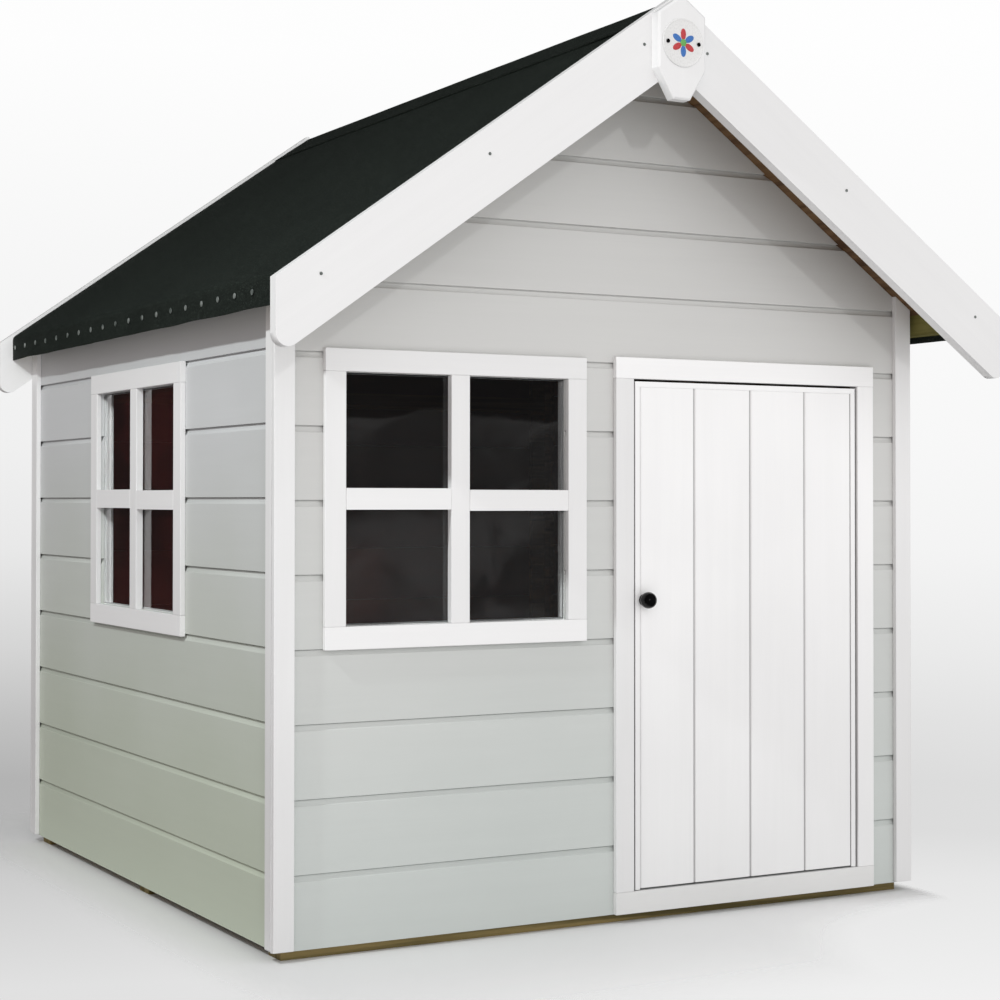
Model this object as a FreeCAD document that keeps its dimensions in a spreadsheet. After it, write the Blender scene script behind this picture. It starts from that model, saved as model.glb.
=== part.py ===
import FreeCAD, Part

import math
import os
import re

import Sketcher

# Painted timber playhouse: millimetres, +Z up, +X to the right along the front,
# -Y is the front.  The origin is on the ground, in the middle of the four walls.
DRIVING = {
    "cabin_width": 1206, "cabin_depth": 1206, "ground_gap": 15,
    "board_thk": 12, "front_cover": 112, "gable_cover": 110.4, "side_cover": 112.7,
    "scoop_height": 10.5, "scoop_depth": 4.5, "scoop_radius": 16,
    "lap_height": 7, "lap_depth": 6, "lap_clearance": 0.2, "seam_gap": 1.5,
    "side_height": 1029,
    "joint_gap": 0.2, "frame_depth": 12, "frame_width": 34,
    "bearer_width": 45, "bearer_height": 28, "floor_board_width": 118.2,
    "floor_board_gap": 0.5, "cut_margin": 5, "wedge_margin": 60, "wedge_height": 200,
    "trim_thk": 9, "corner_width": 34, "batten_width": 35, "trim_lift": 2,
    "side_trim_drop": 14,
    "window_width": 464, "window_height": 455.5, "window_base": 461,
    "front_window_u": -296.5, "side_window_u": -6.5,
    "muntin_width": 33, "muntin_thk": 13, "bar_step": 2,
    "glass_depth": 5, "glass_thk": 1.5, "glass_gap": 1, "bead_width": 3,
    "door_u": 259.5, "door_width": 466, "door_base": 51, "door_height": 834.5,
    "leaf_side_gap": 4, "leaf_top_gap": 4, "leaf_bottom_gap": 3, "leaf_setback": 3,
    "lipping_width": 9, "lipping_drop": 2, "door_board_cover": 115,
    "first_board_less": 6, "door_board_gap": 0.1, "groove_depth": 3,
    "ledge_height": 60, "ledge_drop": 20, "ledge_inset": 6,
    "knob_u": 47, "knob_height": 524, "knob_rad": 13.5, "knob_reach": 11,
    "neck_rad": 5, "rose_rad": 9.5, "rose_thk": 3, "bolt_rad": 2.5,
    "bolt_tail": 8, "nut_rad": 5.5, "nut_thk": 4,
    "hinge_height": 66, "hinge_end": 13, "hinge_inset": 110, "flap_width": 24,
    "flap_thk": 1.8, "barrel_rad": 4.2, "pin_rad": 2.1, "pin_clearance": 0.05,
    "hinge_gap": 0.4, "pin_head": 1.5, "bore_margin": 1,
    "hinge_screw_run": 15.8, "hinge_screw_length": 11,
    "screw_rad": 1.6, "screw_head_rad": 3.2, "small_head_rad": 2.4, "screw_head_thk": 0.8,
    "ridge_height": 1466.4, "roof_rise": 0.7, "eave_run": 650.5, "eave_base": 979,
    "roof_front": 746.6, "roof_back": 612.6, "roof_batten_width": 28,
    "roof_batten_depth": 30, "roof_notch": 4, "eave_batten_width": 27,
    "felt_thk": 2.5, "cap_run": 78, "felt_lip": 11,
    "barge_width": 95.3, "barge_thk": 20, "barge_apex": 1475.7,
    "left_barge_run": 677.5, "right_barge_run": 685.5,
    "barge_round": 19, "barge_joint": 0.3,
    "left_screw_run": 58, "left_screw_step": 275,
    "right_screw_run": 61, "right_screw_step": 279,
    "barge_screw_drop": 42.5, "barge_screw_length": 28,
    "nail_head_rad": 4.5, "nail_head_thk": 0.8, "nail_rad": 1.5, "nail_length": 18,
    "nail_start": -624, "nail_step": 67.5, "nail_height": 992,
    "plaque_half": 44.3, "plaque_thk": 20, "plaque_apex": 1473, "plaque_shoulder": 1356,
    "plaque_base": 1309, "plaque_base_half": 15.5, "plaque_bevel": 3,
    "badge_rad": 38, "badge_thk": 2, "badge_height": 1397, "badge_screw_run": 28.8,
    "badge_screw_length": 30,
}
FULL_ROWS = 8
GABLE_ROWS = 5
SIDE_ROWS = 9
ROOF_BOARDS = 7
BEARERS = 3
FLOOR_BOARDS = 10
DOOR_BOARDS = 4
EAVE_NAILS = 19
BARGE_SCREWS = 3
HINGE_SCREW_HEIGHTS = (0.2, 0.5, 0.8)
SAME_PLACE = 0.01

# Positions that several pieces share, as expressions of the driving dimensions.
HALF_W = "cabin_width / 2"
HALF_D = "cabin_depth / 2"
FACE = "(-cabin_depth / 2)"
INNER = f"({FACE} + board_thk)"
BACK_OF_FRAME = f"({INNER} + frame_depth)"
FLOOR_BASE = "bearer_height"
FLOOR_TOP = "(bearer_height + board_thk)"
SLANT = "sqrt(1 + roof_rise ^ 2)"
ROOF_UNDER = f"(ridge_height - board_thk * {SLANT})"
LEAF_LEFT = "(door_u - door_width / 2 + leaf_side_gap)"
LEAF_WIDTH = "(door_width - 2 * leaf_side_gap)"
LEAF_BASE = "(door_base + leaf_bottom_gap)"
LEAF_HEIGHT = "(door_height - leaf_bottom_gap - leaf_top_gap)"
LEAF_FACE = f"({FACE} - trim_thk + leaf_setback)"
LEAF_BACK = f"({LEAF_FACE} + board_thk)"
PIVOT_X = f"({LEAF_LEFT} + {LEAF_WIDTH} + leaf_side_gap / 2)"
PIVOT_Y = f"({BACK_OF_FRAME} + barrel_rad + hinge_gap)"
THROUGH_WALL = (f"({FACE} - cut_margin)", "(board_thk + 2 * cut_margin)")
TURNS = {"front": 0, "left": -90, "back": 180, "right": 90}

doc = FreeCAD.newDocument("playhouse")
sheet = doc.addObject("Spreadsheet::Sheet", "Dims")
for row, (alias, value) in enumerate(DRIVING.items(), start=1):
    sheet.set(f"A{row}", alias)
    sheet.set(f"B{row}", str(value))
    sheet.setAlias(f"B{row}", alias)
doc.recompute()

nodes = []


def linked(text):
    """Write an expression of the driving names as one that reads the sheet."""
    return re.sub(r"[a-z][a-z_]*", lambda m: f"Dims.{m[0]}" if m[0] in DRIVING else m[0], str(text))


def bind(piece, prop, text):
    piece.setExpression(prop, linked(text))


def value_of(text):
    """The present value of an expression, for choosing an edge by its place."""
    return float(sheet.evalExpression(linked(text)))


def place(piece, u, v, z, turn=0):
    """Put a piece at wall coordinates (u along the wall, v into the house, z up)."""
    across = {0: (f"({u})", f"({v})"), -90: (f"({v})", f"-({u})"),
              180: (f"-({u})", f"-({v})"), 90: (f"-({v})", f"({u})")}[turn]
    turned = FreeCAD.Rotation(FreeCAD.Vector(0, 0, 1), turn)
    piece.Placement = FreeCAD.Placement(FreeCAD.Vector(), turned)
    bind(piece, "Placement.Base.x", across[0])
    bind(piece, "Placement.Base.y", across[1])
    bind(piece, "Placement.Base.z", z)
    return piece


def node(piece, label):
    """Name a finished sub-part and list it for export."""
    piece.Label = label
    nodes.append(piece)
    return piece


def box(u, v, z, wall="front"):
    """A batten or board: each argument is (start, size)."""
    piece = doc.addObject("Part::Box", "Batten")
    for prop, span in (("Length", u), ("Width", v), ("Height", z)):
        bind(piece, prop, span[1])
    return place(piece, u[0], v[0], z[0], TURNS[wall])


def rod(radius, length, start, direction):
    """A cylinder from start along a unit direction."""
    piece = doc.addObject("Part::Cylinder", "Rod")
    bind(piece, "Radius", radius)
    bind(piece, "Height", length)
    turned = FreeCAD.Rotation(FreeCAD.Vector(0, 0, 1), FreeCAD.Vector(*direction))
    piece.Placement = FreeCAD.Placement(FreeCAD.Vector(), turned)
    for axis, text in zip("xyz", start):
        bind(piece, f"Placement.Base.{axis}", text)
    return piece


def fused(pieces):
    joined = doc.addObject("Part::MultiFuse", "Joined")
    joined.Shapes = pieces
    return joined


def cut(base, tool):
    piece = doc.addObject("Part::Cut", "Cut")
    piece.Base = base
    piece.Tool = tool
    return piece


def group(pieces):
    """Separate solids that share one node."""
    together = doc.addObject("Part::Compound", "Group")
    together.Links = pieces
    return together


def sketch_on(body, plane_role, corners, arcs=()):
    """A closed outline; corners are (x, y) expressions, arcs maps a side to a radius."""
    plane = [part for part in body.Origin.OriginFeatures if part.Role == plane_role][0]
    outline = body.newObject("Sketcher::SketchObject", "Outline")
    outline.AttachmentSupport = [(plane, "")]
    outline.MapMode = "FlatFace"
    points = [FreeCAD.Vector(value_of(x), value_of(y), 0) for x, y in corners]
    count = len(points)
    radii = dict(arcs)
    for side in range(count):
        start, end = points[side], points[(side + 1) % count]
        if side in radii:
            outline.addGeometry(bulged_side(start, end, value_of(radii[side])), False)
        else:
            outline.addGeometry(Part.LineSegment(start, end), False)
    # A sketch keeps every arc anticlockwise, so a hollow side runs from its end to its start.
    first = [2 if side in radii else 1 for side in range(count)]
    for side in range(count):
        following = (side + 1) % count
        outline.addConstraint(Sketcher.Constraint("Coincident", side, 3 - first[side],
                                                  following, first[following]))
    for side, (x, y) in enumerate(corners):
        for kind, text in (("DistanceX", x), ("DistanceY", y)):
            index = outline.addConstraint(Sketcher.Constraint(kind, side, first[side], value_of(text)))
            bind(outline, f"Constraints[{index}]", text)
    for side, radius in radii.items():
        index = outline.addConstraint(Sketcher.Constraint("Radius", side, value_of(radius)))
        bind(outline, f"Constraints[{index}]", radius)
    return outline


def bulged_side(start, end, radius):
    """An arc from start to end that hollows the outline to the left of its chord."""
    middle = (start + end) * 0.5
    chord = end - start
    normal = FreeCAD.Vector(-chord.y, chord.x, 0).normalize()
    sagitta = radius - math.sqrt(radius ** 2 - (chord.Length / 2) ** 2)
    return Part.Arc(start, middle + normal * sagitta, end)


def prism(plane_role, corners, length, arcs=()):
    """A body padded from an outline, towards +X from YZ or towards +Y from XZ."""
    body = doc.addObject("PartDesign::Body", "Body")
    outline = sketch_on(body, plane_role, corners, arcs)
    pad = body.newObject("PartDesign::Pad", "Pad")
    pad.Profile = outline
    bind(pad, "Length", length)
    pad.Reversed = plane_role == "XZ_Plane"
    outline.Visibility = False
    return body


def cross_section(corners, start, length):
    """A prism along the depth of the house, from start towards the back."""
    return place(prism("XZ_Plane", corners, length), "0", start, "0")


# Cladding ---------------------------------------------------------------------

def shiplap_row(base, cover, length):
    """One shiplap board: a scooped upper edge laps behind the board above it."""
    front_of_tongue = f"({FACE} + lap_depth)"
    corners = [
        (FACE, "0"),
        (f"{FACE} + lap_depth - lap_clearance", "0"),
        (f"{FACE} + lap_depth - lap_clearance", "lap_height + lap_clearance"),
        (INNER, "lap_height + lap_clearance"),
        (INNER, f"{cover} + lap_height"),
        (front_of_tongue, f"{cover} + lap_height"),
        (front_of_tongue, f"{cover} - seam_gap"),
        (f"{FACE} + scoop_depth", f"{cover} - seam_gap"),
        (FACE, f"{cover} - scoop_height"),
    ]
    board = prism("YZ_Plane", corners, length, {7: "scoop_radius"})
    return place(board, f"-({length}) / 2", "0", base)


def clad_wall(rows, wall, tools):
    """Stack the rows, cut the openings and the roof line, and turn the wall into place."""
    stack = group(rows)
    cladding = cut(stack, group(tools)) if tools else stack
    turned = FreeCAD.Rotation(FreeCAD.Vector(0, 0, 1), TURNS[wall])
    cladding.Placement = FreeCAD.Placement(FreeCAD.Vector(), turned)
    return node(cladding, f"{wall}_cladding")


def gable_rows():
    """Full rows up to the eave, then the rows of the gable."""
    rows = []
    for index in range(FULL_ROWS):
        rows.append(shiplap_row(f"ground_gap + {index} * front_cover", "front_cover", "cabin_width"))
    for index in range(GABLE_ROWS):
        base = f"ground_gap + {FULL_ROWS} * front_cover + {index} * gable_cover"
        rows.append(shiplap_row(base, "gable_cover", "cabin_width"))
    return rows


def roof_cutters():
    """Two wedges that take away everything above the underside of the roof boards."""
    wedges = []
    reach = "(cabin_width / 2 + wedge_margin)"
    for side in (-1, 1):
        corners = [
            ("0", ROOF_UNDER),
            (f"{side} * {reach}", f"{ROOF_UNDER} - roof_rise * {reach}"),
            (f"{side} * {reach}", f"{ROOF_UNDER} + wedge_height"),
            ("0", f"{ROOF_UNDER} + wedge_height"),
        ]
        wedges.append(cross_section(corners, *THROUGH_WALL))
    return wedges


def window_hole(window_u):
    width = "(window_width - 2 * batten_width)"
    height = "(window_height - 2 * batten_width)"
    return box((f"{window_u} - {width} / 2", width), THROUGH_WALL,
               ("window_base + batten_width", height))


def door_hole():
    return box(("door_u - door_width / 2", "door_width"), THROUGH_WALL,
               ("door_base", "door_height"))


def side_rows():
    rows = []
    length = "(cabin_depth - 2 * board_thk - 2 * joint_gap)"
    for index in range(SIDE_ROWS):
        rows.append(shiplap_row(f"ground_gap + {index} * side_cover", "side_cover", length))
    return rows


def side_top_cutter():
    return box(("-cabin_depth / 2", "cabin_depth"), THROUGH_WALL, ("side_height", "side_cover"))


def make_cladding():
    clad_wall(gable_rows(), "front",
              roof_cutters() + [window_hole("front_window_u"), door_hole()])
    clad_wall(gable_rows(), "back", roof_cutters())
    clad_wall(side_rows(), "left", [side_top_cutter(), window_hole("side_window_u")])
    clad_wall(side_rows(), "right", [side_top_cutter()])


# Floor ------------------------------------------------------------------------

def make_floor():
    inside_w = "(cabin_width - 2 * board_thk)"
    inside_d = "(cabin_depth - 2 * board_thk)"
    spacing = f"(({inside_d} - bearer_width) / {BEARERS - 1})"
    bearers = []
    boards = []
    for index in range(BEARERS):
        bearers.append(box((f"-{inside_w} / 2", inside_w),
                           (f"{INNER} + {index} * {spacing}", "bearer_width"),
                           ("0", "bearer_height")))
    for index in range(FLOOR_BOARDS):
        start = f"-{inside_w} / 2 + {index} * floor_board_width"
        boards.append(box((start, "floor_board_width - floor_board_gap"),
                          (INNER, inside_d), (FLOOR_BASE, "board_thk")))
    node(group(bearers), "floor_bearers")
    node(group(boards), "floor_boards")


# Wall frames ------------------------------------------------------------------

def stud(u, base, top, wall):
    return box((u, "frame_width"), (INNER, "frame_depth"), (base, f"({top}) - ({base})"), wall)


def rail(start, end, base, wall):
    return box((start, f"({end}) - ({start})"), (INNER, "frame_depth"), (base, "frame_width"), wall)


def gable_rafters(turn):
    """The two sloping rails and the king stud of a gable frame, under the roof boards."""
    pieces = []
    run = "(cabin_width / 2 - board_thk - frame_depth)"
    deep = f"(frame_width * {SLANT})"
    for side in (-1, 1):
        body = prism("XZ_Plane", sloping(side, "joint_gap", run, ROOF_UNDER, deep), "frame_depth")
        pieces.append(place(body, "0", INNER, "0", turn))
    return pieces


def gable_frame(wall):
    """Studs and rails common to the front and the back."""
    edge = "(cabin_width / 2 - board_thk - frame_depth)"
    top_rail = "(door_base + door_height)"
    above = f"({top_rail} + frame_width)"
    under_rafter = f"({ROOF_UNDER} - frame_width * {SLANT} - roof_rise * {edge})"
    king_top = f"({ROOF_UNDER} - frame_width * {SLANT} - roof_rise * frame_width / 2)"
    floor_rail_top = f"({FLOOR_TOP} + frame_width)"
    pieces = gable_rafters(TURNS[wall])
    pieces.append(rail(f"-{edge}", edge, top_rail, wall))
    pieces.append(stud("-frame_width / 2", above, king_top, wall))
    for start in (f"-{edge}", f"{edge} - frame_width"):
        pieces.append(stud(start, floor_rail_top, top_rail, wall))
        pieces.append(stud(start, above, under_rafter, wall))
    return pieces, edge, floor_rail_top, top_rail


def window_studs(window_u, base, top, wall):
    """A stud each side of a window and a sill rail, flush with the edges of its opening."""
    half = "(window_width / 2 - batten_width)"
    left = f"({window_u} - {half} - frame_width)"
    right = f"({window_u} + {half})"
    sill = "(window_base + batten_width - frame_width)"
    return [stud(left, base, top, wall), stud(right, base, top, wall),
            rail(f"{left} + frame_width", right, sill, wall)]


def make_frames():
    pieces, edge, foot, top_rail = gable_frame("front")
    door_left = "(door_u - door_width / 2)"
    door_right = "(door_u + door_width / 2)"
    pieces += window_studs("front_window_u", foot, top_rail, "front")
    pieces += [rail(f"-{edge}", door_left, FLOOR_TOP, "front"),
               rail(door_right, edge, FLOOR_TOP, "front"),
               stud(f"{door_left} - frame_width", foot, top_rail, "front"),
               stud(door_right, foot, top_rail, "front")]
    node(group(pieces), "front_frame")

    pieces, edge, foot, top_rail = gable_frame("back")
    pieces += [rail(f"-{edge}", edge, FLOOR_TOP, "back"),
               stud("-frame_width / 2", foot, top_rail, "back")]
    node(group(pieces), "back_frame")

    for wall in ("left", "right"):
        node(group(side_frame(wall)), f"{wall}_frame")


def side_frame(wall):
    edge = "(cabin_depth / 2 - board_thk)"
    foot = f"({FLOOR_TOP} + frame_width)"
    head = "(side_height - frame_width)"
    pieces = [rail(f"-{edge}", edge, FLOOR_TOP, wall), rail(f"-{edge}", edge, head, wall),
              stud(f"-{edge}", foot, head, wall), stud(f"{edge} - frame_width", foot, head, wall)]
    if wall == "left":
        pieces += window_studs("side_window_u", foot, head, wall)
        half = "(window_width / 2 - batten_width)"
        lintel = "(window_base + window_height - batten_width)"
        pieces.append(rail(f"side_window_u - {half}", f"side_window_u + {half}", lintel, wall))
    else:
        pieces.append(stud("-frame_width / 2", foot, head, wall))
    return pieces


# Corner trims -----------------------------------------------------------------

def corner_trim(side, facing):
    """Two strips that meet at a corner; the gable strip is cut to the roof line."""
    outer = f"({side} * (cabin_width / 2 + trim_thk))"
    inner = f"({side} * (cabin_width / 2 + trim_thk - corner_width))"
    base = "ground_gap + trim_lift"
    top = ROOF_UNDER if facing == "front" else f"({ROOF_UNDER} - roof_batten_depth * {SLANT})"
    slope_at = "{0} - roof_rise * (cabin_width / 2 + trim_thk{1})".format
    corners = [(outer, base), (outer, slope_at(top, "")),
               (inner, slope_at(top, " - corner_width")), (inner, base)]
    start = f"{FACE} - trim_thk" if facing == "front" else "cabin_depth / 2"
    gable_strip = cross_section(corners, start, "trim_thk")
    x_start = "cabin_width / 2" if side > 0 else "-cabin_width / 2 - trim_thk"
    width = "(corner_width - trim_thk)"
    y_start = FACE if facing == "front" else f"cabin_depth / 2 - {width}"
    side_height = "(side_height - side_trim_drop - ground_gap - trim_lift)"
    side_strip = box((x_start, "trim_thk"), (y_start, width), (base, side_height))
    return group([gable_strip, side_strip])


def make_corner_trims():
    for facing in ("front", "back"):
        for side, name in ((-1, "left"), (1, "right")):
            node(corner_trim(side, facing), f"corner_trim_{facing}_{name}")


# Windows ----------------------------------------------------------------------

def make_window(prefix, window_u, wall):
    """Outer battens, crossing bars, one pane and the beads that hold it."""
    outside = (f"{FACE} - trim_thk", "trim_thk")
    left = f"({window_u} - window_width / 2)"
    inner_left = f"({left} + batten_width)"
    inner_width = "(window_width - 2 * batten_width)"
    inner_base = "(window_base + batten_width)"
    inner_height = "(window_height - 2 * batten_width)"
    top = "(window_base + window_height - batten_width)"
    node(box((left, "window_width"), outside, (top, "batten_width"), wall), f"{prefix}_head")
    node(box((left, "window_width"), outside, ("window_base", "batten_width"), wall), f"{prefix}_sill")
    stiles = [box((start, "batten_width"), outside, (inner_base, inner_height), wall)
              for start in (left, f"{left} + window_width - batten_width")]
    node(group(stiles), f"{prefix}_stiles")

    bar_depth = (f"{FACE} - trim_thk", "muntin_thk")
    node(box((f"{window_u} - muntin_width / 2", "muntin_width"), bar_depth,
             (inner_base, inner_height), wall), f"{prefix}_muntin")
    bar_width = f"(({inner_width} - muntin_width) / 2)"
    middle = f"({inner_base} + ({inner_height} - muntin_width) / 2)"
    bars = [box((inner_left, bar_width), bar_depth, (middle, "muntin_width"), wall),
            box((f"{window_u} + muntin_width / 2", bar_width), bar_depth,
                (f"{middle} - bar_step", "muntin_width"), wall)]
    node(group(bars), f"{prefix}_crossbars")

    pane_front = f"({FACE} + glass_depth)"
    node(box((f"{inner_left} + glass_gap", f"{inner_width} - 2 * glass_gap"),
             (pane_front, "glass_thk"),
             (f"{inner_base} + glass_gap", f"{inner_height} - 2 * glass_gap"), wall), f"{prefix}_pane")
    bead_start = f"({pane_front} + glass_thk)"
    bead_depth = (bead_start, f"{INNER} - {bead_start}")
    upright = f"({inner_height} - 2 * bead_width)"
    beads = [
        box((inner_left, inner_width), bead_depth, (inner_base, "bead_width"), wall),
        box((inner_left, inner_width), bead_depth, (f"{top} - bead_width", "bead_width"), wall),
        box((inner_left, "bead_width"), bead_depth, (f"{inner_base} + bead_width", upright), wall),
        box((f"{inner_left} + {inner_width} - bead_width", "bead_width"), bead_depth,
            (f"{inner_base} + bead_width", upright), wall),
    ]
    node(group(beads), f"{prefix}_beads")


# Door -------------------------------------------------------------------------

def make_door_frame():
    outside = (f"{FACE} - trim_thk", "trim_thk")
    left = "(door_u - door_width / 2 - batten_width)"
    width = "(door_width + 2 * batten_width)"
    top = "(door_base + door_height)"
    node(box((left, width), outside, (top, "batten_width"), "front"), "door_frame_head")
    node(box((left, width), outside, ("ground_gap", "door_base - ground_gap"), "front"),
         "door_frame_sill")
    for name, start in (("left", left), ("right", "(door_u + door_width / 2)")):
        node(box((start, "batten_width"), outside, ("door_base", "door_height"), "front"),
             f"door_frame_jamb_{name}")


def door_board(index):
    """A matched board with half of a V groove down each edge that meets another."""
    first_edge = f"({LEAF_LEFT} + lipping_width)"
    last_edge = f"({LEAF_LEFT} + {LEAF_WIDTH} - lipping_width)"
    joint = f"({first_edge} + {{0}} * door_board_cover - first_board_less)".format
    start = joint(index) if index else first_edge
    end = joint(index + 1) if index + 1 < DOOR_BOARDS else last_edge
    left = f"{start} + door_board_gap"
    bottom_of_groove = f"{LEAF_FACE} + groove_depth"
    corners = [
        (f"{start} + groove_depth", LEAF_FACE), (f"{end} - groove_depth", LEAF_FACE),
        (end, bottom_of_groove), (end, LEAF_BACK), (left, LEAF_BACK), (left, bottom_of_groove),
    ]
    body = prism("XY_Plane", corners, f"{LEAF_HEIGHT} - lipping_width")
    return place(body, "0", "0", LEAF_BASE)


def make_door_leaf():
    node(group([door_board(index) for index in range(DOOR_BOARDS)]), "door_boards")
    depth = (LEAF_FACE, "board_thk")
    height = (f"{LEAF_BASE} - lipping_drop", f"{LEAF_HEIGHT} + lipping_drop - lipping_width")
    right = f"({LEAF_LEFT} + {LEAF_WIDTH} - lipping_width)"
    top = (f"{LEAF_BASE} + {LEAF_HEIGHT} - lipping_width", "lipping_width")
    lippings = [box((LEAF_LEFT, "lipping_width"), depth, height),
                box((right, "lipping_width"), depth, height),
                box((LEAF_LEFT, LEAF_WIDTH), depth, top)]
    node(group(lippings), "door_lippings")
    ledge_depth = (LEAF_BACK, f"{BACK_OF_FRAME} - {LEAF_BACK}")
    span = (f"{LEAF_LEFT} + ledge_inset", f"{LEAF_WIDTH} - ledge_inset")
    middle = f"({LEAF_BASE} + {LEAF_HEIGHT} / 2 - ledge_drop)"
    ledges = [box(span, ledge_depth, (f"{centre} - ledge_height / 2", "ledge_height"))
              for centre in (hinge_centre(0), middle, hinge_centre(1))]
    node(group(ledges), "door_ledges")


def make_knob():
    out = (0, -1, 0)
    face = LEAF_FACE
    at = ("knob_u", f"{face} - rose_thk", "knob_height")
    rose = node(rod("rose_rad", "rose_thk", ("knob_u", face, "knob_height"), out), "door_knob_rose")
    ball = doc.addObject("Part::Sphere", "Ball")
    bind(ball, "Radius", "knob_rad")
    place(ball, "knob_u", f"{face} - rose_thk - knob_reach", "knob_height")
    neck = rod("neck_rad", "knob_reach", at, out)
    node(cut(fused([ball, neck]), rose), "door_knob")
    shank = rod("bolt_rad", "board_thk + rose_thk + bolt_tail",
                ("knob_u", LEAF_BACK, "knob_height"), out)
    nut = rod("nut_rad", "nut_thk", ("knob_u", f"{LEAF_BACK} + nut_thk", "knob_height"), out)
    node(fused([shank, nut]), "door_knob_bolt")


def hinge_centre(index):
    if index == 0:
        return f"({LEAF_BASE} + hinge_inset)"
    return f"({LEAF_BASE} + {LEAF_HEIGHT} - hinge_inset)"


def barrel(base, height):
    """A knuckle with its running bore."""
    start = (PIVOT_X, PIVOT_Y, base)
    outside = rod("barrel_rad", height, start, (0, 0, 1))
    bore = rod("pin_rad + pin_clearance", f"({height}) + 2 * bore_margin",
               (PIVOT_X, PIVOT_Y, f"{base} - bore_margin"), (0, 0, 1))
    return outside, bore


def hinge_flap(side, base, height, spans):
    """A flap plate with knuckles over the given spans of its height."""
    plate_start = f"({PIVOT_X})" if side > 0 else f"({PIVOT_X} - flap_width)"
    plate = box((plate_start, "flap_width"), (BACK_OF_FRAME, "flap_thk"), (base, height))
    solids = [plate]
    bores = []
    for start, size in spans:
        outside, bore = barrel(start, size)
        solids.append(outside)
        bores.append(bore)
    notches = [rod("barrel_rad + hinge_gap", f"({size}) + 2 * hinge_gap",
                   (PIVOT_X, PIVOT_Y, f"({start}) - hinge_gap"), (0, 0, 1))
               for start, size in free_spans(side, base)]
    body = cut(fused(solids), group(bores))
    return cut(body, group(notches))


def free_spans(side, base):
    """The parts of the barrel that belong to the other flap."""
    middle = (f"{base} + hinge_end", "hinge_height - 2 * hinge_end")
    ends = [(base, "hinge_end"), (f"{base} + hinge_height - hinge_end", "hinge_end")]
    return [middle] if side > 0 else ends


def own_spans(side, base):
    if side > 0:
        return [(base, "hinge_end - hinge_gap"),
                (f"{base} + hinge_height - hinge_end + hinge_gap", "hinge_end - hinge_gap")]
    return [(f"{base} + hinge_end", "hinge_height - 2 * hinge_end")]


def make_hinges():
    parts = {"hinge_frame_flaps": [], "hinge_door_flaps": [], "hinge_pins": []}
    screws = {1: [], -1: []}
    for index in range(2):
        base = f"({hinge_centre(index)} - hinge_height / 2)"
        for side, name in ((1, "hinge_frame_flaps"), (-1, "hinge_door_flaps")):
            parts[name].append(hinge_flap(side, base, "hinge_height", own_spans(side, base)))
            for share in HINGE_SCREW_HEIGHTS:
                head = (f"{PIVOT_X} + {side} * hinge_screw_run", f"{BACK_OF_FRAME} + flap_thk",
                        f"{base} + {share} * hinge_height")
                screws[side].append(screw(head, (0, -1, 0), "hinge_screw_length"))
        pin = rod("pin_rad", "hinge_height + pin_head", (PIVOT_X, PIVOT_Y, base), (0, 0, 1))
        cap = rod("barrel_rad", "pin_head", (PIVOT_X, PIVOT_Y, f"{base} + hinge_height"), (0, 0, 1))
        parts["hinge_pins"].append(fused([pin, cap]))
    for name, solids in parts.items():
        node(group(solids), name)
    node(group(screws[1]), "hinge_frame_screws")
    node(group(screws[-1]), "hinge_door_screws")


def screw(start, direction, length, head_rad="screw_head_rad"):
    """A screw: a low head on the surface and a shank into the wood."""
    outward = tuple(-part for part in direction)
    head = rod(head_rad, "screw_head_thk", start, outward)
    shank = rod("screw_rad", length, start, direction)
    return fused([head, shank])


# Roof -------------------------------------------------------------------------

def sloping(side, run_start, run_end, top, plumb):
    """Corners of a plumb-ended strip that follows one slope."""
    return [
        (f"{side} * ({run_start})", f"{top} - roof_rise * ({run_start})"),
        (f"{side} * ({run_end})", f"{top} - roof_rise * ({run_end})"),
        (f"{side} * ({run_end})", f"{top} - {plumb} - roof_rise * ({run_end})"),
        (f"{side} * ({run_start})", f"{top} - {plumb} - roof_rise * ({run_start})"),
    ]


def notched(side, start, plumb):
    """The lower corner of a roof board, planed off where it meets the board above."""
    cut_run = f"({start} + roof_notch)"
    return [
        (f"{side} * {cut_run}", f"ridge_height - {plumb} - roof_rise * {cut_run}"),
        (f"{side} * ({start})", f"ridge_height - {plumb} + roof_notch - roof_rise * ({start})"),
    ]


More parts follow.
